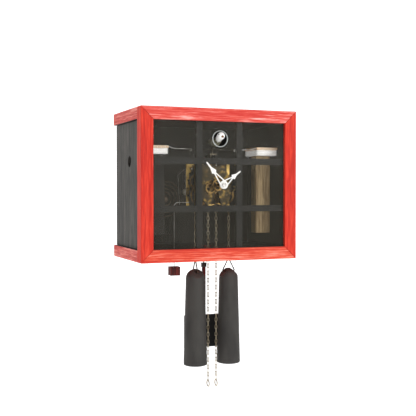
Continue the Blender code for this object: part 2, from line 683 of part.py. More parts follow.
def build_strike_train():
    """Strike great wheel to the fly that steadies the striking."""
    great_y, pin_y, warning_y = STRIKE_GREAT_PLANE, PIN_PLANE, WARNING_PLANE
    great_phase = 4.0
    phase_1 = meshed_phase(STRIKE_GREAT, GREAT_TEETH, great_phase, PIN, GREAT_LEAVES)
    phase_2 = meshed_phase(PIN, TRAIN_TEETH, phase_1, WARNING, TRAIN_LEAVES)
    phase_3 = meshed_phase(WARNING, FINE_TEETH, phase_2, FLY, FINE_LEAVES)
    build_great_wheel("strike_great_wheel", STRIKE_GREAT, great_phase, great_y)
    train_wheel("pin_wheel", PIN, (TRAIN_TEETH, TRAIN_MODULE, phase_1, pin_y),
                (GREAT_LEAVES, GREAT_MODULE, phase_1, great_y - 2.0, great_y + 2.0))
    train_wheel("warning_wheel", WARNING, (FINE_TEETH, FINE_MODULE, phase_2, warning_y),
                (TRAIN_LEAVES, TRAIN_MODULE, phase_2, pin_y - 1.6, pin_y + 1.6))
    fly = arbor("fly", FLY, [(1.8, -130.0, -118.0)], BRASS)
    half_wide, half_thick = 6.4, 0.5
    fuse(fly, box("fly_vane", (FLY[0] - half_wide, -129.0, FLY[1] - half_thick),
                  (FLY[0] + half_wide, -119.0, FLY[1] + half_thick)),
         leaves("fly_leaves", FLY, FINE_LEAVES, FINE_MODULE, phase_3, warning_y - 1.6,
                warning_y + 1.6))


def build_motion_work():
    """Cannon pinion, minute wheel and hour wheel between the front plate and the hands."""
    level_1, level_2 = PLATE_FRONT - 1.8, PLATE_FRONT - 5.0
    half = 0.75
    cannon_phase = 0.0
    minute_phase = meshed_phase(CENTRE, CANNON_LEAVES, cannon_phase, MINUTE, MINUTE_TEETH)
    hour_phase = meshed_phase(MINUTE, MINUTE_LEAVES, minute_phase, CENTRE, HOUR_TEETH)
    shaft, pipe_bore, pipe = 1.3, 1.6, 2.6
    hand_front = MINUTE_HAND_Y - HAND_THICK / 2
    cannon = turned("cannon_pinion",
                    [(shaft, hand_front - 1.6), (shaft, PLATE_FRONT - TOUCH)], CENTRE, STEEL, 16)
    fuse(cannon, leaves("cannon_leaves", CENTRE, CANNON_LEAVES, CANNON_MODULE, cannon_phase,
                        level_1 - half, level_1 + half))
    stud_back = PLATE_FRONT - TOUCH
    minute = turned("minute_wheel", [(1.2, level_2 - half - 0.3), (1.2, stud_back)], MINUTE,
                    BRASS, 12)
    fuse(minute, plate("minute_rim",
                       [tooth_outline(MINUTE, MINUTE_TEETH, CANNON_MODULE, minute_phase)]
                       + windows(MINUTE, 2.6, 6.8, 4, 1.4, minute_phase),
                       level_1 - half + 0.15, level_1 + half - 0.15),
         leaves("minute_leaves", MINUTE, MINUTE_LEAVES, HOUR_MODULE, minute_phase,
                level_2 - half, level_2 + half))
    hour = plate("hour_wheel",
                 [tooth_outline(CENTRE, HOUR_TEETH, HOUR_MODULE, hour_phase)]
                 + windows(CENTRE, 3.8, 7.4, 4, 1.4, hour_phase) + [disc(CENTRE, pipe_bore, 16)],
                 level_2 - half + 0.15, level_2 + half - 0.15, BRASS)
    sleeve = plate("hour_pipe", [disc(CENTRE, pipe, 20), disc(CENTRE, pipe_bore, 16)],
                   HOUR_HAND_Y - HAND_THICK / 2 - 0.4, level_2 + half)
    fuse(hour, sleeve)
    return shaft, pipe


def hand_outline(length, hub_radius):
    """A modern leaf hand: a slim arm, a barbed leaf and a narrow tip."""
    ring = arc(CENTRE, hub_radius, 90 + HAND_SPREAD, 450 - HAND_SPREAD, 20)
    right = [(1.7, length * 0.53), (4.4, length * 0.57), (3.2, length * 0.64),
             (1.3, length * 0.76), (1.0, length - 0.6), (0.4, length)]
    left = [(-x, z) for x, z in reversed(right)]
    return ring + right + left


def build_hands(shaft, pipe):
    """Minute hand, hour hand and the nut that holds them."""
    specs = (("hour_hand", HOUR_HAND_LENGTH, HOUR_HAND_Y, pipe, HOUR_HAND_ANGLE),
             ("minute_hand", MINUTE_HAND_LENGTH, MINUTE_HAND_Y, shaft, MINUTE_HAND_ANGLE))
    for name, length, y, seat, angle in specs:
        opening = [(-3.0, 6.8), (3.0, 6.8), (0.5, length * 0.47), (-0.5, length * 0.47)]
        hand = plate(name, [hand_outline(length, 6.3), disc(CENTRE, seat + TOUCH, 20), opening],
                     y - HAND_THICK / 2, y + HAND_THICK / 2, WHITE_PAINT)
        hand.data.transform(Matrix.Rotation(math.radians(-angle), 4, "Y"))
    nut_back = MINUTE_HAND_Y - HAND_THICK / 2 - TOUCH
    plate("hand_nut", [disc(CENTRE, 3.6, 6), disc(CENTRE, shaft + TOUCH, 12)], nut_back - 2.2,
          nut_back, STEEL)


def build_escapement():
    """Anchor with its crutch, and the pendulum that the crutch keeps swinging."""
    escape_y = ESCAPE_PLANE
    away = Vector((ANCHOR[0] - ESCAPE[0], ANCHOR[1] - ESCAPE[1]))
    reach = away.length
    along = away.normalized()
    aside = Vector((-along.y, along.x))
    half = [(6.05, 5.55), (6.6, 7.3), (11.2, 7.2), (reach + 1.6, 2.8), (reach + 2.6, 0.0)]
    inner = [(11.4, 0.0), (11.2, 3.2), (8.9, 4.9)]
    right = half + [(u, -v) for u, v in reversed(half[:-1])]
    outline = right + [(u, -v) for u, v in reversed(inner[1:])] + inner
    plan = [(ESCAPE[0] + along.x * u + aside.x * v, ESCAPE[1] + along.y * u + aside.y * v)
            for u, v in outline]
    crutch_y = PENDULUM_PLANE - 6.0
    anchor = turned("anchor", [(PIVOT_RADIUS, PLATE_FRONT + TOUCH),
                               (PIVOT_RADIUS, TRAIN_FRONT + TOUCH),
                               (ARBOR_RADIUS, TRAIN_FRONT + TOUCH),
                               (ARBOR_RADIUS, crutch_y + 1.2)], ANCHOR, STEEL, 12)
    fork_z, prong = 2.0, 2.6
    front, back = crutch_y, PENDULUM_PLANE + 3.0
    fuse(anchor, plate("pallets", [plan], escape_y - 1.1, escape_y + 1.1),
         wire("crutch_stem", [(0.0, crutch_y, ANCHOR_Z), (0.0, crutch_y, fork_z)], 0.8),
         wire("crutch_fork", [(-prong, back, fork_z), (-prong, front, fork_z),
                              (prong, front, fork_z), (prong, back, fork_z)], 0.7))

    y = PENDULUM_PLANE
    loop = [(2.0 * math.cos(math.tau * k / 16), y, PENDULUM_AXIS_Z
             + 2.0 * math.sin(math.tau * k / 16)) for k in range(16)]
    leader = wire("pendulum_leader", [(0.0, y, PENDULUM_AXIS_Z - 1.8),
                                      (0.0, y, LEADER_END + 4.0)], 1.0, BLACK_METAL)
    fuse(leader, wire("leader_loop", loop, 0.6, closed=True),
         box("leader_clip", (-4.0, y - 2.5, LEADER_END), (4.0, y + 2.5, LEADER_END + 7.0)))
    half_rod = ROD_WIDTH / 2
    box("pendulum_rod", (-half_rod, y - ROD_THICK / 2, ROD_END),
        (half_rod, y + ROD_THICK / 2, LEADER_END - TOUCH), RED_WOOD, 0.4)
    bob_back = y - ROD_THICK / 2 - TOUCH
    bob = box("pendulum_bob", (-BOB_WIDTH / 2, bob_back - BOB_THICK, BOB_TOP - BOB_HEIGHT),
              (BOB_WIDTH / 2, bob_back, BOB_TOP), BLACK_METAL, 0.5)
    clip_z = BOB_TOP - BOB_HEIGHT / 2
    clip = box("bob_clip", (-half_rod - 2.0, bob_back - 0.5, clip_z - 6.0),
               (half_rod + 2.0, y + ROD_THICK / 2 + 1.6, clip_z + 6.0))
    gap = box("rod_way", (-half_rod - TOUCH, bob_back, clip_z - 8.0),
              (half_rod + TOUCH, y + ROD_THICK / 2 + TOUCH, clip_z + 8.0))
    fuse(bob, clip)
    carve(bob, gap)


# -------------------------------------------------------------- cuckoo, gong, shut-off
def build_voice():
    """Whistles with their bellows and lifting lids."""
    for side, sign in (("left", -1), ("right", 1)):
        def span(inner, outer):
            return sorted((sign * inner, sign * outer))

        outer = SIDE_INNER - 2 * TOUCH
        back = BELLOWS_FRONT + BELLOWS_LENGTH
        xs = span(BELLOWS_INNER, outer)
        cloth_top = BELLOWS_BASE + BELLOWS_CLOTH
        box(side + "_bellows", (xs[0], BELLOWS_FRONT, BELLOWS_BASE), (xs[1], back, cloth_top),
            WHITE_CLOTH, 0.5)
        lid_base = cloth_top + TOUCH
        box(side + "_bellows_lid", (xs[0], BELLOWS_FRONT, lid_base),
            (xs[1], back, lid_base + BELLOWS_LID), NATURAL_WOOD, 0.5)
        top = BELLOWS_BASE - TOUCH
        low = top - WHISTLE_LENGTH
        xs = span(WHISTLE_INNER, WHISTLE_INNER + WHISTLE_WIDTH)
        front, rear = WHISTLE_FRONT, WHISTLE_FRONT + WHISTLE_DEPTH
        pipe = box(side + "_whistle", (xs[0], front, low), (xs[1], rear, top), NATURAL_WOOD, 0.5)
        wall = WHISTLE_WALL
        carve(pipe, box("bore", (xs[0] + wall, front + wall, low + wall),
                        (xs[1] - wall, rear - wall, top - wall)))
        mouth = span(WHISTLE_INNER - 1, WHISTLE_INNER + wall + 1)
        carve(pipe, box("mouth", (mouth[0], front + wall, top - 24.0),
                        (mouth[1], rear - wall, top - 16.0)))
        middle = (xs[0] + xs[1]) / 2
        carve(pipe, cylinder("wind_way", 3.0, (middle, (front + rear) / 2, top - wall - 1),
                             (middle, (front + rear) / 2, top + 1), sides=12))


def build_bird():
    """The bird, its sliding carriage and the fixed bar the carriage runs on."""
    body_y, body_z = BIRD_FRONT + 23.0, BIRD_HOLE_Z - 4.7
    bird = ball("bird", (0.0, body_y, body_z), (8.0, 17.0, 8.0), WHITE_PAINT)
    head_x, head_y, head_z = 1.0, BIRD_FRONT + 1.0, BIRD_HOLE_Z + 4.3
    fuse(bird, ball("head", (head_x, head_y, head_z), (6.3, 6.8, 6.3)),
         cylinder("neck", 5.4, (0.0, body_y - 7.0, body_z + 1.0),
                  (head_x, head_y + 1.5, head_z - 0.8), end_radius=4.6, sides=14),
         cylinder("beak", 2.2, (head_x, head_y - 4.0, head_z - 1.0),
                  (head_x, head_y - 9.5, head_z - 3.0), end_radius=0.5, sides=10),
         box("tail", (-3.5, body_y + 10.0, body_z - 0.5), (3.5, body_y + 24.0, body_z + 2.0)))
    post_y = body_y + 13.0
    bar_low, bar_high, bar_half = 44.0, 48.0, 3.0
    guide = box("bird_guide", (-bar_half, PLATE_FRONT, bar_low),
                (bar_half, REAR_FACE + 4.0, bar_high), BRASS)
    for y in (PLATE_FRONT, REAR_PLATE):
        fuse(guide, box("guide_foot", (-2.4, y, PLATE_TOP + TOUCH),
                        (2.4, y + PLATE_THICK, bar_low + 0.5)))
    arm = 2.7
    saddle = box("bird_carriage", (-bar_half - TOUCH - arm, post_y - 6.0, bar_low - 0.6),
                 (bar_half + TOUCH + arm, post_y + 6.0, bar_high + TOUCH + 2.4), BRASS)
    carve(saddle, box("bar_way", (-bar_half - TOUCH, post_y - 8.0, bar_low - 2.0),
                      (bar_half + TOUCH, post_y + 8.0, bar_high + TOUCH)))
    drop = (post_y - body_y) / 17.0
    belly = body_z - 8.0 * math.sqrt(1 - drop * drop)
    cross_z = 57.5
    fuse(saddle, cylinder("post", 1.2, (0.0, post_y, bar_high + 1.5),
                          (0.0, post_y, belly - 0.8), sides=12),
         wire("cross_wire", [(-15.0, post_y, cross_z), (43.5, post_y, cross_z)], 0.7))


def build_gong():
    """A coiled gong on its post, with the hammer that strikes it."""
    post_radius, gong_wire, turns, per_turn = 3.9, 1.0, 4.25, 14
    start_radius = post_radius + gong_wire + TOUCH
    steps = int(turns * per_turn)
    coil = []
    for k in range(steps + 1):
        radius = start_radius + (GONG_RADIUS - start_radius) * k / steps
        turn = math.tau * turns * k / steps
        coil.append((GONG_X + radius * math.cos(turn), GONG_PLANE,
                     GONG_Z + radius * math.sin(turn)))
    wire("gong_coil", coil, gong_wire, STEEL)
    post = cylinder("gong_post", post_radius, (GONG_X, GONG_PLANE - 4.0, GONG_Z),
                    (GONG_X, -BACK_THICK - TOUCH, GONG_Z), BRASS)
    fuse(post, cylinder("gong_foot", 9.0, (GONG_X, -BACK_THICK - TOUCH - 4.0, GONG_Z),
                        (GONG_X, -BACK_THICK - TOUCH, GONG_Z), sides=24))
    hammer = cylinder("hammer", HAMMER_ARBOR, (HAMMER_X, REAR_PLATE - 1.5, HAMMER_Z),
                      (HAMMER_X, GONG_PLANE + 1.0, HAMMER_Z), STEEL, sides=12)
    fuse(hammer, cylinder("collar", HAMMER_ARBOR + 1.2, (HAMMER_X, REAR_FACE + TOUCH, HAMMER_Z),
                          (HAMMER_X, REAR_FACE + 3.0, HAMMER_Z)),
         cylinder("arm", 0.9, (HAMMER_X, GONG_PLANE, HAMMER_Z),
                  (HAMMER_X, GONG_PLANE, HAMMER_BALL_Z), sides=10),
         ball("head", (HAMMER_X, GONG_PLANE, HAMMER_BALL_Z), (HAMMER_BALL_RADIUS,) * 3))


def build_shutoff():
    """The night shut-off: a pull wire with a small wooden cube below the case."""
    cube_x, cube_y, cube_z = SHUTOFF_CUBE
    base = SHUTOFF_CUBE_TOP - cube_z
    cube = box("shutoff_cube", (SHUTOFF_X - cube_x / 2, CHAIN_PLANE - cube_y / 2, base),
               (SHUTOFF_X + cube_x / 2, CHAIN_PLANE + cube_y / 2, SHUTOFF_CUBE_TOP),
               RED_WOOD, 0.6)
    socket = 5.0
    carve(cube, cylinder("wire_socket", 0.6 + TOUCH,
                         (SHUTOFF_X, CHAIN_PLANE, SHUTOFF_CUBE_TOP - socket),
                         (SHUTOFF_X, CHAIN_PLANE, SHUTOFF_CUBE_TOP + 1), sides=12))
    wire("shutoff_wire", [(SHUTOFF_X, CHAIN_PLANE, SHUTOFF_CUBE_TOP - socket + TOUCH),
                          (SHUTOFF_X, CHAIN_PLANE, -32.0),
                          (SHUTOFF_X + 4.0, CHAIN_PLANE, -28.0),
                          (-PLATE_HALF_WIDTH - 1.5, CHAIN_PLANE, -28.0)], 0.6, STEEL)


# ---------------------------------------------------------------- weights and chains
def build_weight(name, x, quarter_turn):
    """A cast weight, its round top cut to a chisel, and the wire link through its hole."""
    base = WEIGHT_TOP - WEIGHT_LENGTH
    shoulder = WEIGHT_TOP - WEIGHT_TOP_RADIUS
    profile = [(WEIGHT_BASE_RADIUS - 2.0, base), (WEIGHT_BASE_RADIUS - 0.5, base + 0.6),
               (WEIGHT_BASE_RADIUS, base + 2.2)]
    for k in range(7):
        rise = math.pi / 2 * k / 7
        profile.append((WEIGHT_TOP_RADIUS * math.cos(rise),
                        shoulder + WEIGHT_TOP_RADIUS * math.sin(rise)))
    shape = bmesh.new()
    points = [(0.0, WEIGHT_TOP)] + profile[::-1] + [(0.0, base)]
    corners = [shape.verts.new((radius * MM, 0.0, z * MM)) for radius, z in points]
    for first, second in zip(corners, corners[1:]):
        shape.edges.new((first, second))
    mesh = bpy.data.meshes.new(name)
    shape.to_mesh(mesh)
    shape.free()
    weight = place(mesh, name, CHARCOAL)
    weight.location = (x * MM, CHAIN_PLANE * MM, 0.0)
    screw = weight.modifiers.new("turn", "SCREW")
    screw.steps = 32
    screw.render_steps = 32
    screw.use_merge_vertices = True
    screw.merge_threshold = 1e-6
    ridge, reach = 1.6, 40.0
    way = Matrix.Rotation(math.radians(90 if quarter_turn else 0), 4, "Z")
    spot = Matrix.Translation((x * MM, CHAIN_PLANE * MM, 0.0))
    tools = []
    for side in (-1, 1):
        start = side * ridge
        wedge = plate("facet", [[(start, WEIGHT_TOP), (start + side * reach, WEIGHT_TOP - reach),
                                 (start + side * reach, WEIGHT_TOP + 5.0),
                                 (start, WEIGHT_TOP + 5.0)]], -reach, reach)
        wedge.data.transform(Matrix.Rotation(math.pi / 2, 4, "Z"))
        tools.append(wedge)
    hole_z = WEIGHT_TOP - 5.0
    tools.append(cylinder("eye", HOOK_WIRE + 0.9, (0.0, -reach, hole_z), (0.0, reach, hole_z),
                          sides=16))
    for tool in tools:
        tool.data.transform(spot @ way)
    carve(weight, *tools)
    half = 1.0 + ridge + (WEIGHT_TOP - hole_z) + HOOK_WIRE + 1.4
    link = wire(name + "_hook", [(0.0, -half, hole_z), (0.0, half, hole_z),
                                 (0.0, half, hole_z + 2.0), (0.0, 1.8, HOOK_TOP - HOOK_WIRE),
                                 (0.0, -1.8, HOOK_TOP - HOOK_WIRE), (0.0, -half, hole_z + 2.0)],
                HOOK_WIRE, STEEL, closed=True)
    link.data.transform(spot @ way)


def build_chain(name, loaded_x, free_x):
    """The loaded strand down to the hook, and the free strand down to its ring."""
    spacing = 12.0
    for part, x, end in (("loaded", loaded_x, HOOK_TOP + TOUCH), ("free", free_x, FREE_CHAIN_END)):
        count = round((SPROCKET_Z - end) / spacing)
        points = [(x, CHAIN_PLANE, SPROCKET_Z + (end - SPROCKET_Z) * k / count)
                  for k in range(count + 1)]
        wire(name + "_chain_" + part, points, CHAIN_WIDTH / 2, STEEL)
    middle = FREE_CHAIN_END - TOUCH - RING_WIRE - RING_RADIUS
    ring = [(free_x, CHAIN_PLANE + RING_RADIUS * math.sin(math.tau * k / 16),
             middle + RING_RADIUS * math.cos(math.tau * k / 16)) for k in range(16)]
    wire(name + "_chain_ring", ring, RING_WIRE, STEEL, closed=True)


def build_clock():
    """Every piece of the clock."""
    build_boards()
    build_sides()
    build_frame()
    build_glazing()
    build_plates()
    build_time_train()
    build_strike_train()
    shaft, pipe = build_motion_work()
    build_hands(shaft, pipe)
    build_escapement()
    build_voice()
    build_bird()
    build_gong()
    build_shutoff()
    build_weight("time_weight", CHAIN_OUT, True)
    build_weight("strike_weight", -CHAIN_OUT, False)
    build_chain("time", CHAIN_OUT, CHAIN_IN)
    build_chain("strike", -CHAIN_OUT, -CHAIN_IN)
    weld_seams()


build_clock()
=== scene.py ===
# %% [markdown]
# # A cuckoo clock in a square glazed case
#
# The clock's shape and its joints come ready made: every case board, wheel and hand is a
# named solid that already moves.  This lesson adds what a solid can't show.  It paints the
# wood, brass and iron, hangs real link chains in place of plain bars, folds the bellows'
# cloth, and gives the bird its feathers.
#
# All lengths are in metres in one frame: +X to the right seen from the front, +Y into the
# wall, +Z up, and the origin in the middle of the case's back.

# %% Load the frame
import math

import bmesh
import bpy
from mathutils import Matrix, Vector


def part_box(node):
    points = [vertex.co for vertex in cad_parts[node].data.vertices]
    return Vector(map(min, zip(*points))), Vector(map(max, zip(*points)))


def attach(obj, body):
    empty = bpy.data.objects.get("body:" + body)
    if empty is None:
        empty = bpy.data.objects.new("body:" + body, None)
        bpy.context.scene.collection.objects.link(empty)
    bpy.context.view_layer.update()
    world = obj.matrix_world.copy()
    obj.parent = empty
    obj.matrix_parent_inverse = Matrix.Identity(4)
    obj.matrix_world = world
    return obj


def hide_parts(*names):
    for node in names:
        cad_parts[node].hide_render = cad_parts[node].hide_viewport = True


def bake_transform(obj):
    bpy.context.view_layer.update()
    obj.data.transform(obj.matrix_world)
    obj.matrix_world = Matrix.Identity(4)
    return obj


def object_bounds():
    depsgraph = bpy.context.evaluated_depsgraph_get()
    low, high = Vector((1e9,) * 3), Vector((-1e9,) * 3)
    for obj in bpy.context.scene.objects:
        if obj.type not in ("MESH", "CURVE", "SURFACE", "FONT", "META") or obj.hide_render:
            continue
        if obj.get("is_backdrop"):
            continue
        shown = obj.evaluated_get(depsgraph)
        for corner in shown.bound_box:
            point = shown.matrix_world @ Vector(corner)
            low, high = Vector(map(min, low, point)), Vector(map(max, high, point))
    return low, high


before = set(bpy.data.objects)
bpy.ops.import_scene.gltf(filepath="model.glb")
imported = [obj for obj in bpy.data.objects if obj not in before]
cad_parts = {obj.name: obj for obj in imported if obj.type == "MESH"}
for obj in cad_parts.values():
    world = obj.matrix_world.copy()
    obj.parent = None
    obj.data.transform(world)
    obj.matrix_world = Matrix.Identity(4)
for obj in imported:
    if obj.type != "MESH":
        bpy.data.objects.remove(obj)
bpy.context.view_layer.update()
MM = 0.001

# %% [markdown]
# ## Camera
#
# The clock hangs on a wall and is seen a little from its left, from the height of the dial.
# A long lens keeps the square case nearly square, so the camera stands 1.4 m away.

# %% Camera
camera_data = bpy.data.cameras.new("camera")
camera_data.lens, camera_data.sensor_width = 69.23, 36.0
camera = bpy.data.objects.new("camera", camera_data)
camera.location = (-0.4835, -1.3225, -0.0096)
camera.rotation_euler = (math.radians(90 - 1.22), 0.0, math.radians(-21.6))
bpy.context.scene.collection.objects.link(camera)
bpy.context.scene.camera = camera
bpy.context.scene.view_settings.view_transform = "Standard"
print("camera at", tuple(round(c, 3) for c in camera.location))

# %% [markdown]
# ## Shader sums
#
# A wood grain is arithmetic: stretched noise, a threshold, a blend of two stains.  Nodes
# for that are tiresome to place one by one.  So one small class wraps a node's output and
# overloads + - * /, and a second one makes any other node from its type, its settings and
# its inputs.  Colours are blended by Mix nodes, because a Math node would turn them grey.


# %% Sockets that take part in sums
class Value:
    """A node's output that can be used like a number."""

    def __init__(self, paint, socket):
        self.paint, self.socket = paint, socket

    def maths(self, operation, first, second):
        return self.paint.node("ShaderNodeMath", {"operation": operation},
                               {0: first, 1: second})

    def __add__(self, other):
        return self.maths("ADD", self, other)

    def __radd__(self, other):
        return self.maths("ADD", other, self)

    def __sub__(self, other):
        return self.maths("SUBTRACT", self, other)

    def __rsub__(self, other):
        return self.maths("SUBTRACT", other, self)

    def __mul__(self, other):
        return self.maths("MULTIPLY", self, other)

    def __rmul__(self, other):
        return self.maths("MULTIPLY", other, self)

    def __gt__(self, other):
        return self.maths("GREATER_THAN", self, other)

    def __lt__(self, other):
        return self.maths("LESS_THAN", self, other)

    def __abs__(self):
        return self.maths("ABSOLUTE", self, 0.0)


class Paint:
    """A material whose nodes are written as expressions."""

    def __init__(self, name):
        self.material = bpy.data.materials.new(name)
        self.material.use_nodes = True
        self.tree = self.material.node_tree
        self.shader = self.tree.nodes["Principled BSDF"]
        self.place = self.node("ShaderNodeTexCoord", {}, {}, "Object")

    def node(self, kind, settings, inputs, output=0):
        """Any node: its settings first, then the values or links of its sockets."""
        made = self.tree.nodes.new(kind)
        for key, value in settings.items():
            if key == "stops":
                for stop, (position, colour) in zip(made.color_ramp.elements, value):
                    stop.position, stop.color = position, colour
            else:
                setattr(made, key, value)
        for key, value in inputs.items():
            self.join(made.inputs[key], value)
        return Value(self, made.outputs[output])

    def join(self, socket, value):
        """Link a value to a socket, or set the socket to a constant."""
        if isinstance(value, Value):
            self.tree.links.new(value.socket, socket)
        else:
            socket.default_value = value

    def axis(self, letter):
        return self.node("ShaderNodeSeparateXYZ", {}, {0: self.place}, letter)

    def noise(self, stretch, detail=2.0, rough=0.5, shift=0.0):
        """Noise whose lumps are 1 / stretch metres long on each axis."""
        spot = self.node("ShaderNodeVectorMath", {"operation": "MULTIPLY_ADD"},
                         {0: self.place, 1: stretch, 2: (shift, shift, shift)})
        return self.node("ShaderNodeTexNoise", {},
                         {"Vector": spot, "Scale": 1.0, "Detail": detail,
                          "Roughness": rough})

    def ease(self, value, low, high):
        """0 below low, 1 above high, and smooth between."""
        return self.node("ShaderNodeMapRange", {"interpolation_type": "SMOOTHSTEP"},
                         {"Value": value, "From Min": low, "From Max": high})

    def mix(self, amount, first, second):
        """A blend of two colours."""
        return self.node("ShaderNodeMix", {"data_type": "RGBA"},
                         {0: amount, 6: first, 7: second}, 2)

    def bump(self, height, distance, strength=1.0):
        return self.node("ShaderNodeBump", {},
                         {"Strength": strength, "Distance": distance, "Height": height})

    def finish(self, **sockets):
        """Feed the shader; Base_Color stands for Base Color."""
        for key, value in sockets.items():
            self.join(self.shader.inputs[key.replace("_", " ")], value)
        return self.material


def tint(red, green, blue):
    """A colour as it looks on a screen, 0 to 255, made linear."""
    def linear(level):
        level /= 255
        return level / 12.92 if level <= 0.04045 else ((level + 0.055) / 1.055) ** 2.4
    return (linear(red), linear(green), linear(blue), 1.0)


print("a mid grey is", round(tint(128, 128, 128)[0], 3))

# %% [markdown]
# ## Stained wood
#
# The case is spruce, brushed so that its fibres stand up, then stained.  The stain sinks
# unevenly: the soft wood drinks it and goes deep, the hard lines stay pale.  Four noises
# give that.  Each is stretched along the grain, from broad bands to single fibres.  Grain
# has to run along each piece, so a rail and a stile need their own material.

# %% The wood recipe
INNER_X, INNER_Z, FRAME_REAR = 0.1153, 0.1013, -0.1385
# painted shade: the colour that faces inside the case, behind the glass, are darkened to
INSIDE_SHADE = tint(20, 17, 15)


def stretch(along, length, across):
    """Stretch factors with one axis along the grain."""
    return tuple(length if axis == along else across for axis in range(3))


def stained_wood(name, along, stain, pale, deep, pale_share=0.5, shaded_inside=()):
    """Brushed, stained softwood; shaded_inside lists the axis and level inside which painted
    shade darkens it.
    """
    paint = Paint(name)
    bands = paint.noise(stretch(along, 5.0, 110.0), 3.0, 0.6)
    lines = paint.noise(stretch(along, 26.0, 640.0), 3.0, 0.7, 3.0)
    fibres = paint.noise(stretch(along, 60.0, 1900.0), 2.0, 0.6, 7.0)
    pools = paint.noise(stretch(along, 26.0, 150.0), 2.0, 0.5, 11.0)
    grain = bands * 0.4 + lines * 0.6
    colour = paint.mix(paint.ease(grain, 0.38, 0.58), deep, stain)
    colour = paint.mix(paint.ease(grain, 0.50, 0.64) * pale_share, colour, pale)
    colour = paint.mix(paint.ease(pools, 0.60, 0.74) * 0.5, colour, deep)
    colour = paint.mix(paint.ease(fibres, 0.60, 0.72) * 0.35, colour, deep)
    # painted shade: faces that reach into the case, behind the glass face, are blended to this
    # dark colour
    for axis, level, face in shaded_inside:
        painted_shade = (abs(paint.axis(axis)) < level) * (paint.axis("Y") > face)
        colour = paint.mix(painted_shade, colour, INSIDE_SHADE)
    return paint.finish(Base_Color=colour, Roughness=0.55 + fibres * 0.22,
                        Specular_IOR_Level=0.3,
                        Normal=paint.bump(lines * 0.6 + fibres * 0.4, 0.35 * MM, 0.6))


GLASS_FACE = -0.1553
# the inner faces of the rails and stiles get painted shade
RAIL_SHADED_INSIDE, STILE_SHADED_INSIDE = [("Z", 0.1004, GLASS_FACE)], [("X", 0.1124, GLASS_FACE)]
rail_top_wood = stained_wood("rose_stain_rail", 0, tint(226, 92, 78), tint(246, 198, 190),
                             tint(196, 44, 36), 0.75, RAIL_SHADED_INSIDE)
rail_bottom_wood = stained_wood("coral_stain_rail", 0, tint(224, 84, 56),
                                tint(242, 168, 148), tint(192, 42, 28), 0.65, RAIL_SHADED_INSIDE)
stile_wood = stained_wood("red_stain_stile", 2, tint(214, 50, 28), tint(226, 96, 72),
                          tint(176, 28, 16), 0.35, STILE_SHADED_INSIDE)
board_wood = stained_wood("red_stain_board", 1, tint(216, 92, 80), tint(240, 172, 160),
                          tint(180, 46, 38), 0.6, [("Z", INNER_Z, FRAME_REAR)])
block_wood = stained_wood("red_stain_block", 2, tint(96, 24, 18), tint(120, 56, 40),
                          tint(38, 8, 6), 0.4)
# the case's red stain made dark as painted shade: the rod hangs in shadow behind the weights
shaded_rod_wood = stained_wood("red_rod_painted_shade", 2, tint(96, 26, 24), tint(130, 50, 44),
                        tint(48, 12, 12), 0.4)
side_wood = stained_wood("smoke_stain_side", 2, tint(62, 59, 54), tint(104, 99, 90),
                         tint(34, 32, 29), 0.6, [("X", INNER_X, -0.16)])
back_wood = stained_wood("black_stain_back", 2, tint(34, 32, 29), tint(54, 51, 45),
                         tint(20, 19, 17), 0.5)
muntin_wood = stained_wood("black_stain_bar", 2, tint(14, 13, 12), tint(30, 28, 25),
                           tint(8, 8, 7), 0.3)
# one bare spruce in two copies: the whistle's darker, as painted shade, and the lids' paler, as
# painted light on pale spruce
shaded_whistle_wood = stained_wood("bare_spruce", 2, tint(160, 136, 98), tint(196, 174, 132),
                            tint(108, 86, 56), 0.6)
lit_lid_wood = stained_wood("bare_spruce_lid", 1, tint(246, 226, 198), tint(254, 244, 226),
                        tint(226, 172, 122), 0.6)
print("wood finishes:", len([m for m in bpy.data.materials if m.use_nodes]))

# %% [markdown]
# ## Metal, iron and glass
#
# The movement is stamped brass sheet, so its polish lines run one way and tarnish clouds
# it.  The pine-cone weights of an old clock are here plain iron with a rough charcoal
# coat, which needs a fine grain in its bump and next to no shine.  Glass is made with a
# low alpha, because a refracting pane would keep the soft light out of the case.


# %% Metals, coats and glass
def brushed(name, bright, dull, roughness, along=2):
    """Rolled or drawn metal with fine lines and clouds of tarnish."""
    paint = Paint(name)
    lines = paint.noise(stretch(along, 60.0, 2600.0), 2.0, 0.6)
    clouds = paint.noise((90.0, 90.0, 90.0), 4.0, 0.6, 5.0)
    colour = paint.mix(paint.ease(clouds, 0.38, 0.66), bright, dull)
    return paint.finish(Base_Color=colour, Metallic=1.0,
                        Roughness=roughness + lines * 0.16 + clouds * 0.1,
                        Normal=paint.bump(lines, 0.03 * MM, 0.4))


def coat(name, base, other, roughness, lump, depth, shine=0.5):
    """A painted coat with a fine grain and slow changes of shade."""
    paint = Paint(name)
    grain = paint.noise((lump,) * 3, 2.0, 0.6)
    shade = paint.noise((45.0, 45.0, 18.0), 3.0, 0.5, 2.0)
    colour = paint.mix(paint.ease(shade, 0.35, 0.7), base, other)
    return paint.finish(Base_Color=colour,
                        Roughness=roughness + grain * 0.14, Specular_IOR_Level=shine,
                        Normal=paint.bump(grain, depth, 0.5))


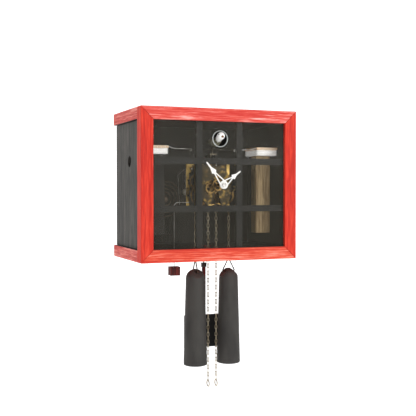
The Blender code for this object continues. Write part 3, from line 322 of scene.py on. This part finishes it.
# The plate's flat middle is painted dark, a painted reflection of the dark room with tarnish
# clouds in it; a band round its rim is painted bright brass, a painted glint on its edges.
plate_paint = Paint("plate_brass")
plate_lines = plate_paint.noise(stretch(2, 60.0, 2600.0), 2.0, 0.6)
plate_clouds = plate_paint.noise((130.0, 130.0, 130.0), 3.0, 0.6, 5.0)
rim_x = abs(plate_paint.axis("X")) - 0.0305
rim_z = abs(plate_paint.axis("Z")) - 0.0345
rim = plate_paint.node("ShaderNodeMath", {"operation": "MAXIMUM"}, {0: rim_x, 1: rim_z})
rim_glint_mask = plate_paint.ease(rim + (plate_clouds - 0.5) * 0.03, -0.0015, 0.0025)
dark_reflection_and_tarnish = plate_paint.mix(plate_paint.ease(plate_clouds, 0.5, 0.66), tint(46, 41, 32),
                         tint(122, 98, 52))
plate_brass = plate_paint.finish(
    Base_Color=plate_paint.mix(rim_glint_mask, dark_reflection_and_tarnish, tint(196, 164, 96)), Metallic=1.0,
    Roughness=0.26 + plate_lines * 0.16,
    Normal=plate_paint.bump(plate_lines, 0.03 * MM, 0.4))
brass = brushed("rolled_brass", tint(226, 186, 112), tint(176, 132, 70), 0.24)
# a darker copy of the rolled brass: painted shade on the movement's wheels
shaded_wheel_brass = brushed("shaded_wheel_brass", tint(150, 120, 72), tint(92, 70, 40), 0.26)
steel = brushed("drawn_steel", tint(196, 194, 190), tint(138, 134, 128), 0.24)
chain_metal = brushed("chain_bronze", tint(196, 184, 160), tint(140, 124, 98), 0.28)
dark_wire = brushed("dark_wire", tint(92, 86, 74), tint(58, 53, 44), 0.34)
gong_steel = brushed("gong_steel", tint(96, 84, 74), tint(60, 50, 44), 0.35)
charcoal = coat("charcoal_iron", tint(60, 58, 55), tint(48, 46, 44), 0.6, 2400.0,
                0.12 * MM, 0.3)
black_coat = coat("black_coat", tint(24, 23, 23), tint(36, 34, 33), 0.42, 1500.0, 0.05 * MM)
white_coat = coat("white_lacquer", tint(236, 235, 231), tint(224, 223, 218), 0.30, 900.0,
                  0.03 * MM)
ivory_coat = coat("ivory_lacquer", tint(232, 226, 210), tint(212, 203, 184), 0.34, 900.0,
                  0.03 * MM)

glass_paint = Paint("window_glass")
haze = glass_paint.noise((14.0, 14.0, 14.0), 3.0, 0.5)
glass = glass_paint.finish(Base_Color=tint(128, 124, 112), Alpha=0.035 + haze * 0.05,
                           Roughness=0.04 + haze * 0.04,
                           Specular_IOR_Level=0.12)
ground_paint = Paint("ground_glass_edge")
frost = ground_paint.noise((700.0, 700.0, 700.0), 2.0)
ground_edge = ground_paint.finish(Base_Color=tint(200, 206, 204), Roughness=0.3 + frost * 0.2,
                                  Alpha=0.55 + frost * 0.25)
print("finishes:", len(bpy.data.materials))

# %% [markdown]
# ## Painting the ready solids
#
# Most solids already have their right shape, so they only take a material.  One table
# says which, and each node's name is looked up in it.

# %% Materials of the ready solids
FINISHES = {
    rail_top_wood: "frame_top_rail",
    rail_bottom_wood: "frame_bottom_rail",
    stile_wood: "frame_left_stile frame_right_stile",
    board_wood: "top_board bottom_board",
    side_wood: "left_side_panel right_side_panel",
    # the left whistle takes the black stain as painted shade: the left of the case lies in
    # shadow
    back_wood: "back_panel left_whistle",
    muntin_wood: "muntin_left muntin_right muntin_upper muntin_lower bird_guide",
    shaded_whistle_wood: "right_whistle",
    lit_lid_wood: "left_bellows_lid right_bellows_lid",
    block_wood: "shutoff_cube",
    shaded_rod_wood: "pendulum_rod",
    glass: "glass_panel",
    plate_brass: "movement_front_plate movement_rear_plate",
    shaded_wheel_brass: "hour_wheel minute_wheel time_great_wheel intermediate_wheel centre_wheel "
                 "third_wheel escape_wheel strike_great_wheel pin_wheel warning_wheel fly",
    steel: "cannon_pinion hand_nut anchor shutoff_wire",
    dark_wire: "time_weight_hook strike_weight_hook bird_carriage",
    chain_metal: "time_chain_ring strike_chain_ring",
    gong_steel: "gong_coil gong_post",
    charcoal: "time_weight strike_weight",
    black_coat: "pendulum_leader pendulum_bob",
    white_coat: "minute_hand hour_hand",
    ivory_coat: "hammer",
}
for material, names in FINISHES.items():
    for name in names.split():
        mesh = bpy.data.objects[name].data
        mesh.materials.clear()
        mesh.materials.append(material)
print("painted:", sum(len(names.split()) for names in FINISHES.values()))

# %% [markdown]
# ## Building blocks for small parts
#
# Wires, chain links and rings are all one thing: a circle carried along a path.  Nuts,
# pins and beads are another: a profile turned round an axis.  The first block keeps its
# circle from twisting by carrying one direction along from point to point.


# %% Sweeping and turning
def skin(shape, rings):
    """Join a row of rings into a closed solid, with a face at each end."""
    for first, second in zip(rings, rings[1:]):
        for s in range(len(first)):
            t = (s + 1) % len(first)
            shape.faces.new((first[s], first[t], second[t], second[s]))
    shape.faces.new(rings[0][::-1])
    shape.faces.new(rings[-1])


def carry(shape, points, radius, sides=8, closed=False):
    """A round wire along points, added to a bmesh; radius may be one per point."""
    points = [Vector(p) for p in points]
    count = len(points)
    radii = [radius] * count if isinstance(radius, float) else radius
    aside, rings = None, []
    for k, point in enumerate(points):
        ahead = points[(k + 1) % count] if closed or k + 1 < count else point
        behind = points[k - 1] if closed or k else point
        way = (ahead - behind).normalized()
        if aside is None:
            aside = way.orthogonal()
        aside = (aside - way * aside.dot(way)).normalized()
        other = way.cross(aside)
        ring = []
        for s in range(sides):
            turn = math.tau * s / sides
            edge = aside * math.cos(turn) + other * math.sin(turn)
            ring.append(shape.verts.new(point + edge * radii[k]))
        rings.append(ring)
    pairs = list(zip(rings, rings[1:]))
    if closed:
        turned = min(range(sides), key=lambda s: (rings[0][s].co - rings[-1][0].co).length)
        pairs.append((rings[-1], rings[0][turned:] + rings[0][:turned]))
    for first, second in pairs:
        for s in range(sides):
            t = (s + 1) % sides
            shape.faces.new((first[s], first[t], second[t], second[s]))
    if not closed:
        shape.faces.new(rings[0][::-1])
        shape.faces.new(rings[-1])


def turn_profile(shape, profile, start, way, sides=20):
    """A closed solid from (radius, distance) pairs round the line start + way."""
    start, way = Vector(start), Vector(way).normalized()
    aside = way.orthogonal().normalized()
    other = way.cross(aside)
    rings = []
    for radius, distance in profile:
        ring = []
        for s in range(sides):
            turn = math.tau * s / sides
            edge = aside * math.cos(turn) + other * math.sin(turn)
            ring.append(shape.verts.new(start + way * distance + edge * radius))
        rings.append(ring)
    skin(shape, rings)


def piece(name, shape, material, body=None, smooth=True):
    """Turn a bmesh into an object with a finish, riding on a body."""
    bmesh.ops.recalc_face_normals(shape, faces=shape.faces)
    mesh = bpy.data.meshes.new(name)
    shape.to_mesh(mesh)
    shape.free()
    mesh.materials.append(material)
    for face in mesh.polygons:
        face.use_smooth = smooth
    made = bpy.data.objects.new(name, mesh)
    bpy.context.scene.collection.objects.link(made)
    if body:
        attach(made, body)
    return made


print("helpers ready")

# %% [markdown]
# ## The chains
#
# Each weight hangs on a chain that runs up over a toothed sprocket and down again to a
# ring.  A link is an oval of wire, and each is turned a quarter from the last, so that it
# can sit inside its neighbours.  Every strand is one mesh of links hanging straight down
# from the sprocket's side.

# %% Link, strand and wrap
CHAIN_Y = -119.0 * MM
SPROCKET_Z, SPROCKET_X, SPROCKET_REACH = -16.0 * MM, 18.0 * MM, 11.0 * MM
LOADED_END, FREE_LENGTH = -121.3 * MM, 300.0 * MM
LOADED_LINKS, FREE_LINKS, WRAP_LINKS, CORD_STEPS = 18, 51, 6, 30
LINK_WIRE, LINK_HALF_WIDTH = 0.48 * MM, 1.62 * MM


def link(shape, middle, way, quarter, pitch):
    """One oval link: centred, along way, turned about it by quarter turns."""
    way = Vector(way).normalized()
    flat = Vector((0.0, 1.0, 0.0)) if quarter else Vector((0.0, 1.0, 0.0)).cross(way)
    reach = pitch / 2 + LINK_WIRE
    straight = reach - LINK_HALF_WIDTH
    path = []
    for side in (1, -1):
        for k in range(6):
            turn = math.pi * k / 5
            path.append(Vector(middle)
                        + way * side * (straight + LINK_HALF_WIDTH * math.sin(turn))
                        + flat * side * LINK_HALF_WIDTH * math.cos(turn))
    carry(shape, path, LINK_WIRE, 6, closed=True)


def strand(name, x, end, count):
    """Links hanging straight down from the sprocket's side."""
    shape = bmesh.new()
    pitch = (SPROCKET_Z - end) / count
    for k in range(count):
        link(shape, (x, CHAIN_Y, SPROCKET_Z - pitch * (k + 0.5)), (0, 0, -1), k % 2, pitch)
    return piece(name, shape, chain_metal)


FREE_END = SPROCKET_Z - FREE_LENGTH
for side, sign in (("time", 1), ("strike", -1)):
    outer, inner = sign * (SPROCKET_X + SPROCKET_REACH), sign * (SPROCKET_X - SPROCKET_REACH)
    loaded = strand(side + "_loaded_links", outer, LOADED_END, LOADED_LINKS)
    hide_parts(side + "_chain_loaded")
    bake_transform(loaded)
    free = strand(side + "_free_links", inner, FREE_END, FREE_LINKS)
    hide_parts(side + "_chain_free")
    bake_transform(free)
    shape = bmesh.new()
    for k in range(WRAP_LINKS):
        turn = math.pi * (k + 0.5) / WRAP_LINKS
        middle = (sign * SPROCKET_X + SPROCKET_REACH * math.cos(turn), CHAIN_Y,
                  SPROCKET_Z + SPROCKET_REACH * math.sin(turn))
        link(shape, middle, (-math.sin(turn), 0.0, math.cos(turn)), k % 2,
             math.pi * SPROCKET_REACH / WRAP_LINKS)
    piece(side + "_links_over_sprocket", shape, chain_metal, "root")
print("free strand:", FREE_LENGTH, "m")

# %% [markdown]
# ## The bellows
#
# A pair of bellows blows the two whistles for the call.  Each is a wooden base and lid
# joined by pleated white cloth, hinged at the back.  The cloth is one closed band of
# folds, standing between the whistle below and the lid above.

# %% Pleated cloth
cloth_paint = Paint("white_bellows_cloth")
weave_one = cloth_paint.noise((2600.0, 300.0, 300.0), 1.0)
weave_two = cloth_paint.noise((300.0, 300.0, 2600.0), 1.0, 0.5, 4.0)
soil = cloth_paint.noise((70.0, 70.0, 160.0), 3.0, 0.6, 9.0)
cloth_colour = cloth_paint.mix(cloth_paint.ease(soil, 0.45, 0.75), tint(254, 253, 250),
                               tint(240, 238, 232))
# a weak emission makes the cloth glow as painted light, keeping it white in the case's shade
glowing_cloth = cloth_paint.finish(Base_Color=cloth_colour, Roughness=0.8 + soil * 0.15,
                           Emission_Color=cloth_colour, Emission_Strength=0.16,
                           Normal=cloth_paint.bump(weave_one + weave_two, 0.08 * MM, 0.5))
PLEATS, PLEAT_DEPTH, CORNER = 3, 1.3 * MM, 2.4 * MM
LEVELS_PER_PLEAT = 8


def rounded_box(low, high, inset, corner, steps=4):
    """The outline of a box in plan, drawn in by inset, with rounded corners."""
    x0, y0 = low[0] + inset + corner, low[1] + inset + corner
    x1, y1 = high[0] - inset - corner, high[1] - inset - corner
    outline = []
    for x, y, start in ((x1, y1, 0), (x0, y1, 1), (x0, y0, 2), (x1, y0, 3)):
        for k in range(steps + 1):
            turn = math.pi / 2 * (start + k / steps)
            outline.append((x + corner * math.cos(turn), y + corner * math.sin(turn)))
    return outline


for side in ("left", "right"):
    low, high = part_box(side + "_bellows")
    shape, rings = bmesh.new(), []
    levels = PLEATS * LEVELS_PER_PLEAT
    for k in range(levels + 1):
        fold = 0.5 - 0.5 * math.cos(math.tau * PLEATS * k / levels)
        z = low[2] + (high[2] - low[2]) * k / levels
        inset = 0.2 * MM + PLEAT_DEPTH * (1 - fold) ** 1.4
        rings.append([shape.verts.new((x, y, z))
                      for x, y in rounded_box(low, high, inset, CORNER)])
    skin(shape, rings)
    folds = piece(side + "_bellows_cloth", shape, glowing_cloth)
    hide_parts(side + "_bellows")
    middle = (low[0] + high[0]) / 2
    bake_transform(folds)
    print(folds.name, "folds:", PLEATS)

# %% [markdown]
# ## Lift wires
#
# A thin wire reaches from each lid to the strike train, which lifts it to draw breath.
# The wire is stapled to the lid's inner end and finishes in a small eye.

# %% Lift wires
WIRE, LIFT_REACH = 0.55 * MM, 38.0 * MM
for side, sign in (("left", -1), ("right", 1)):
    low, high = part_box(side + "_bellows_lid")
    inner = high[0] if sign < 0 else low[0]
    y, z = low[1] + 3.0 * MM, (low[2] + high[2]) / 2
    tip = inner - sign * LIFT_REACH
    path = [(inner + sign * 4 * MM, y, z), (inner, y, z), (inner - sign * 3 * MM, y, z),
            (inner - sign * 6 * MM, y, z - 1.6 * MM),
            (inner - sign * 12 * MM, y, z - 2.6 * MM), (tip, y, z - 2.8 * MM)]
    path += [(tip - sign * 1.6 * MM * math.sin(t), y,
              z - 2.8 * MM - 1.6 * MM * (1 - math.cos(t)))
             for t in (math.radians(a) for a in range(30, 271, 30))]
    shape = bmesh.new()
    carry(shape, path, WIRE, 8)
    piece(side + "_lift_wire", shape, steel, side + "_lid")
print("lift wires end", round(tip / MM, 1), "mm right of the middle")

# %% [markdown]
# ## The bird
#
# The bird looks out of a round hole in the glass.  It is a small turned and carved figure:
# a white head, a grey-olive back and a brown beak; the grey of the back is partly painted
# shade, deepening where the body reaches back into the case.  Its body is lofted through ovals
# from the tail to the head, then smoothed; wings, eyes and beak are pieces of their own that
# ride with it.

# %% Body of the bird
bird_paint = Paint("painted_bird")
along = bird_paint.axis("Y")
ruffle = bird_paint.noise((420.0, 160.0, 420.0), 3.0, 0.6)
# white in front, grey-olive further back; the grey is partly painted shade deeper in the case
front = bird_paint.ease(along * -1.0 + ruffle * 0.005, 0.1475, 0.1510)
back_colour_and_shade = bird_paint.mix(bird_paint.ease(ruffle, 0.4, 0.65), tint(92, 92, 74),
                             tint(134, 131, 108))
feathers = bird_paint.finish(
    Base_Color=bird_paint.mix(front, back_colour_and_shade, tint(246, 246, 243)),
    Roughness=0.45 + ruffle * 0.2, Normal=bird_paint.bump(ruffle, 0.25 * MM, 0.6))
beak_coat = coat("beak_ochre", tint(150, 104, 42), tint(120, 78, 30), 0.4, 900.0, 0.03 * MM)
eye_coat = coat("eye_black", tint(14, 13, 13), tint(22, 20, 19), 0.15, 900.0, 0.01 * MM)

BIRD_SECTIONS = (          # y, x and z of the middle, half width, half height
    (-109.2, 0.0, 71.8, 2.6, 0.7), (-113.0, 0.0, 71.2, 4.2, 1.3),
    (-118.0, 0.0, 70.0, 5.4, 3.4), (-124.0, 0.0, 68.7, 7.0, 6.2),
    (-130.0, 0.0, 68.0, 7.8, 7.6), (-136.0, 0.0, 68.3, 7.6, 7.6),
    (-141.0, 0.2, 70.0, 6.4, 6.8), (-145.0, 0.5, 72.4, 5.2, 5.6),
    (-149.0, 0.8, 75.2, 5.6, 5.9), (-152.5, 1.0, 76.8, 6.2, 6.4),
    (-156.5, 1.0, 77.2, 6.1, 6.3), (-159.6, 1.0, 77.2, 4.5, 4.7),
    (-161.2, 1.0, 77.1, 2.1, 2.3))
OVAL_SIDES = 16
shape, rings = bmesh.new(), []
for y, x, z, wide, high in BIRD_SECTIONS:
    rings.append([shape.verts.new(((x + wide * math.cos(math.tau * k / OVAL_SIDES)) * MM, y * MM,
                                   (z + high * math.sin(math.tau * k / OVAL_SIDES)) * MM))
                  for k in range(OVAL_SIDES)])
skin(shape, rings)
bird = piece("bird_figure", shape, feathers, "bird")
bird.modifiers.new("smooth", "SUBSURF").render_levels = 1
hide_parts("bird")
print("bird length:", round(BIRD_SECTIONS[0][0] - BIRD_SECTIONS[-1][0], 1), "mm")

# %% Wings, eyes and beak
for name, sign in (("left", -1), ("right", 1)):
    shape, rows = bmesh.new(), []
    for k in range(9):
        share = k / 8
        y = -139.0 + 26.0 * share
        half = 5.0 * math.sin(math.pi * min(1.0, 0.14 + share * 0.84)) ** 0.7
        z = 69.6 + 1.6 * share
        x = 7.5 - 3.2 * share ** 2
        rows.append([shape.verts.new((sign * (x + thick) * MM, y * MM,
                                      (z + half * lift) * MM))
                     for lift, thick in ((1.0, -0.6), (0.5, 0.9), (-0.4, 1.2), (-1.0, 0.4),
                                         (-0.4, -0.4), (0.5, -0.9))])
    skin(shape, rows)
    wing = piece(name + "_wing", shape, feathers, "bird")
    wing.modifiers.new("smooth", "SUBSURF").render_levels = 2
    shape = bmesh.new()
    turn_profile(shape, [(0.1 * MM, 0.75 * MM), (0.6 * MM, 0.6 * MM), (0.95 * MM, 0.2 * MM),
                         (0.9 * MM, -0.4 * MM)],
                 ((1.0 + sign * 4.9) * MM, -157.6 * MM, 79.2 * MM), (sign * 0.8, -0.5, 0.3), 16)
    piece(name + "_bird_eye", shape, eye_coat, "bird")
shape = bmesh.new()
carry(shape, [(MM, -159.6 * MM, 76.2 * MM), (MM, -161.4 * MM, 75.8 * MM),
              (MM, -163.0 * MM, 75.2 * MM), (MM, -164.2 * MM, 74.4 * MM),
              (MM, -164.8 * MM, 73.8 * MM)],
      [2.1 * MM, 1.8 * MM, 1.3 * MM, 0.7 * MM, 0.2 * MM], 12)
piece("bird_beak", shape, beak_coat, "bird")

# %% [markdown]
# ## The glass hole's edge
#
# The hole for the bird is cut in the pane, and its ground edge catches the light as a thin
# pale ring.

# %% Ground edge
glass_low, glass_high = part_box("glass_panel")
HOLE_RADIUS, HOLE_Z = 12.5 * MM, 72.7 * MM
shape = bmesh.new()
for y in (glass_low[1] + 0.5 * MM, glass_high[1] - 0.5 * MM):
    carry(shape, [(HOLE_RADIUS * math.cos(math.tau * k / 48), y,
                   HOLE_Z + HOLE_RADIUS * math.sin(math.tau * k / 48)) for k in range(48)],
          0.5 * MM, 8, closed=True)
piece("bird_hole_edge", shape, ground_edge, "root")
print("hole:", 2 * HOLE_RADIUS / MM, "mm across")

# %% [markdown]
# ## Nuts, guards and the release wire
#
# Pillars hold the two plates apart, and a six-sided brass nut closes the front of each.
# Bent brass strips under the sprockets keep the chains from jumping off.

# %% Nuts and guards
front_low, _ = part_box("movement_front_plate")
PILLAR_X, PILLAR_Z = 34.2 * MM, 37.5 * MM
shape = bmesh.new()
for x in (-PILLAR_X, PILLAR_X):
    for z in (-PILLAR_Z, PILLAR_Z):
        turn_profile(shape, [(2.4 * MM, 0.0), (3.6 * MM, 0.0), (3.6 * MM, 1.6 * MM),
                             (3.1 * MM, 2.1 * MM), (2.4 * MM, 2.1 * MM)],
                     (x, front_low[1], z), (0, -1, 0), 6)
piece("plate_nuts", shape, brass, "root", smooth=False)
GUARD_FRONT, GUARD_REAR, GUARD_UNDER, GUARD_OVER = -136.4, -124.6, 0.7, 1.6
for side, sign, drop in (("time", 1, 0.0), ("strike", -1, 1.2)):
    shape = bmesh.new()
    inner, outer = sign * 3.2, sign * 14.5
    rows = []
    for x, z in ((inner, -31.0 - drop), (sign * 6.0, -31.6 - drop), (sign * 11.0, -33.2),
                 (outer, -34.6)):
        rows.append([shape.verts.new((x * MM, y * MM, (z + h) * MM))
                     for y, h in ((GUARD_FRONT, GUARD_OVER), (GUARD_REAR, GUARD_OVER),
                                  (GUARD_REAR, GUARD_UNDER), (GUARD_FRONT, GUARD_UNDER))])
    skin(shape, rows)
    piece(side + "_chain_guard", shape, brass, "root", smooth=False)
shape = bmesh.new()
carry(shape, [(-32.4 * MM, -95.0 * MM, 29.9 * MM), (-33.6 * MM, -95.0 * MM, 29.2 * MM),
              (-49.0 * MM, -95.0 * MM, 17.4 * MM), (-50.3 * MM, -95.0 * MM, 15.4 * MM),
              (-48.6 * MM, -95.0 * MM, -8.0 * MM), (-47.0 * MM, -95.0 * MM, -32.0 * MM)],
      0.5 * MM, 8)
piece("strike_release_wire", shape, steel, "root")
print("front plate face at", round(front_low[1] / MM, 1), "mm")

# %% [markdown]
# ## Studio
#
# Soft light from a large panel in front and to the right, a weaker one on the left, and a
# pale sweep far behind and below, so that no shadow of the clock falls on it.

# %% Sweep and lights
sweep_coat = coat("pale_sweep", tint(250, 250, 250), tint(248, 248, 248), 0.9, 40.0, 0.01 * MM)
sweep_shader = sweep_coat.node_tree.nodes["Principled BSDF"]
sweep_shader.inputs["Emission Color"].default_value = (1.0, 1.0, 1.0, 1.0)
sweep_shader.inputs["Emission Strength"].default_value = 0.55
shape, rows = bmesh.new(), []
FLOOR_Z, WALL_Y, CURVE, HALF = -1.1, 2.4, 0.6, 5.0
profile = [(-4.0, FLOOR_Z)]
profile += [(WALL_Y - CURVE + CURVE * math.sin(math.pi / 2 * k / 12),
             FLOOR_Z + CURVE - CURVE * math.cos(math.pi / 2 * k / 12)) for k in range(13)]
profile.append((WALL_Y, 4.0))
for x in (-HALF, HALF):
    rows.append([shape.verts.new((x, y, z)) for y, z in profile])
for k in range(len(profile) - 1):
    shape.faces.new((rows[0][k], rows[0][k + 1], rows[1][k + 1], rows[1][k]))
mesh = bpy.data.meshes.new("studio_sweep")
shape.to_mesh(mesh)
shape.free()
mesh.materials.append(sweep_coat)
for face in mesh.polygons:
    face.use_smooth = True
sweep = bpy.data.objects.new("studio_sweep", mesh)
bpy.context.scene.collection.objects.link(sweep)
sweep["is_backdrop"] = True


def panel(name, place, size, watts, mirrored=True):
    """A square soft light aimed at the clock, seen or unseen in reflections."""
    data = bpy.data.lights.new(name, "AREA")
    data.size, data.energy = size, watts
    lamp = bpy.data.objects.new(name, data)
    lamp.location = place
    aim = Vector((0.0, -0.08, -0.1)) - lamp.location
    lamp.rotation_euler = aim.to_track_quat("-Z", "Y").to_euler()
    lamp.visible_glossy = mirrored
    bpy.context.scene.collection.objects.link(lamp)


panel("key_panel", (0.7, -1.8, 0.6), 1.1, 24.0)
panel("fill_panel", (-1.5, -1.0, 0.2), 1.2, 6.0, False)
world = bpy.data.worlds.new("studio_air")
bpy.context.scene.world = world
world.use_nodes = True
world.node_tree.nodes["Background"].inputs["Color"].default_value = (1.0, 1.0, 1.0, 1.0)
world.node_tree.nodes["Background"].inputs["Strength"].default_value = 0.40
print("lights:", len(bpy.data.lights))

# %% [markdown]
# ## Size of the finished look
#
# The box round everything that is drawn, the sweep left out, is printed.

# %% Sizes and finish
low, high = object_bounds()
print("visual box:", [round(c, 4) for c in (*low, *high)])
